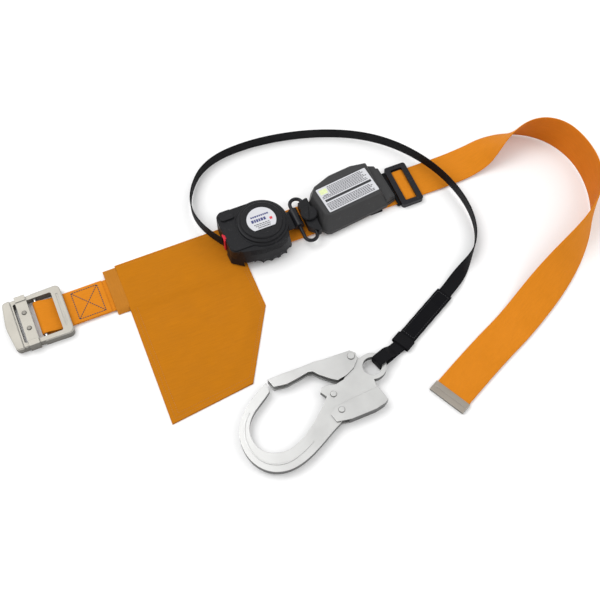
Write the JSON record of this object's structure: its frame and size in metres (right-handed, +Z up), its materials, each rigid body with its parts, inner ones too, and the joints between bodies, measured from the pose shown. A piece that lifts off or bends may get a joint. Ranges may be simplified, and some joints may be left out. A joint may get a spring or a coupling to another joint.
{
  "type": "self retracting lifeline",
  "caption": "Orange waist belt carrying a black self retracting lanyard unit, energy absorber pack, cloth pouch and a large steel snap hook.",
  "frame": {"origin": "middle of the footprint, at floor level", "axes": "+X along the straight stretch of the belt from the buckle to the free tail, +Y across the belt away from the hook, +Z up"},
  "size_m": [0.8276, 0.4867, 0.0518],
  "materials": {
    "orange_webbing": "plain woven webbing",
    "orange_cloth": "plain woven cloth",
    "tan_webbing": "plain woven webbing",
    "black_webbing": "ribbed narrow webbing",
    "buckle_metal": "satin die-cast",
    "clip_metal": "pressed, satin",
    "hook_metal": "bright satin plate",
    "black_steel": "black coated",
    "steel": "zinc plated",
    "grey_plastic": "fine moulded texture",
    "black_plastic": "fine moulded texture",
    "red_plastic": "moulded",
    "white_label": "printed film"
  },
  "bodies": {
    "belt": {"belt_webbing": "orange_webbing", "belt_end_clip": "clip_metal", "buckle_frame": "buckle_metal", "buckle_bar": "steel", "buckle_end_cover": "buckle_metal", "triglide": "black_steel", "belt_keeper": "black_webbing", "pack_base": "grey_plastic", "pack_cover": "grey_plastic", "pack_label": "white_label", "pack_screws": "steel", "tear_webbing": "black_webbing", "pack_keepers": "black_webbing", "link_ring": "black_steel", "connector_block": "black_plastic", "connector_knob": "black_plastic", "lanyard_webbing": "black_webbing", "lanyard_sleeve": "black_webbing", "sleeve_band": "black_webbing", "lanyard_eye_loop": "black_webbing"},
    "buckle_plate": {"buckle_slider": "buckle_metal", "slider_rivets": "steel"},
    "retractor": {"retractor_back_cover": "black_plastic", "retractor_front_cover": "black_plastic", "retractor_label": "white_label", "retractor_screws": "steel", "webbing_guide": "red_plastic", "retractor_frame": "steel", "shaft_bushes": "black_plastic", "ratchet_ring": "steel", "spring_cup": "black_plastic", "power_spring": "steel", "webbing_lead": "black_webbing"},
    "drum": {"drum": "black_plastic", "drum_shaft": "steel", "wound_webbing": "black_webbing", "pawl_carrier": "steel", "pawl_pins": "steel"},
    "pawl_1": {"pawl_1": "steel"},
    "pawl_2": {"pawl_2": "steel"},
    "pouch": {"pouch_back_panel": "orange_cloth", "pouch_front_panel": "orange_cloth", "pouch_loop_hem": "tan_webbing"},
    "hook": {"hook_body": "hook_metal", "gate_rivet": "hook_metal", "lock_rivet": "hook_metal", "stop_rivet": "hook_metal", "gate_spring": "steel"},
    "gate": {"hook_gate": "hook_metal"},
    "lock_lever": {"lock_lever": "hook_metal"}
  },
  "joints": [
    {"name": "buckle_plate_slide", "type": "slide", "parent": "belt", "child": "buckle_plate", "axis": [1, 0, 0], "range_m": [0, 0.005]},
    {"name": "retractor_tilt", "type": "hinge", "parent": "belt", "child": "retractor", "pos_m": [-0.00128, 0.1473, 0.014], "axis": [0, 1, 0], "range_deg": [0, 55]},
    {"name": "drum_turn", "type": "hinge", "parent": "retractor", "child": "drum", "pos_m": [-0.05178, 0.1473, 0.025], "axis": [0, 0, 1], "range_deg": [-1440, 2520]},
    {"name": "pawl_1_swing", "type": "hinge", "parent": "drum", "child": "pawl_1", "pos_m": [-0.04078, 0.1473, 0.038], "axis": [0, 0, 1], "range_deg": [-9, 0]},
    {"name": "pawl_2_swing", "type": "hinge", "parent": "drum", "child": "pawl_2", "pos_m": [-0.06278, 0.1473, 0.038], "axis": [0, 0, 1], "range_deg": [-9, 0]},
    {"name": "pouch_slide", "type": "slide", "parent": "belt", "child": "pouch", "axis": [1, 0, 0], "range_m": [-0.004, 0.05]},
    {"name": "hook_swing", "type": "hinge", "parent": "belt", "child": "hook", "pos_m": [0.00382, -0.093, 0.008], "axis": [0, 0, 1], "range_deg": [-2, 50]},
    {"name": "gate_open", "type": "hinge", "parent": "hook", "child": "gate", "pos_m": [-0.0162, -0.0708, 0.008], "axis": [0, 0, 1], "range_deg": [0, 24], "stiffness_Nm_per_rad": 0.15},
    {"name": "lever_press", "type": "hinge", "parent": "hook", "child": "lock_lever", "pos_m": [-0.05675, -0.13395, 0.008], "axis": [0, 0, 1], "range_deg": [0, 5], "stiffness_Nm_per_rad": 0.15}
  ]
}
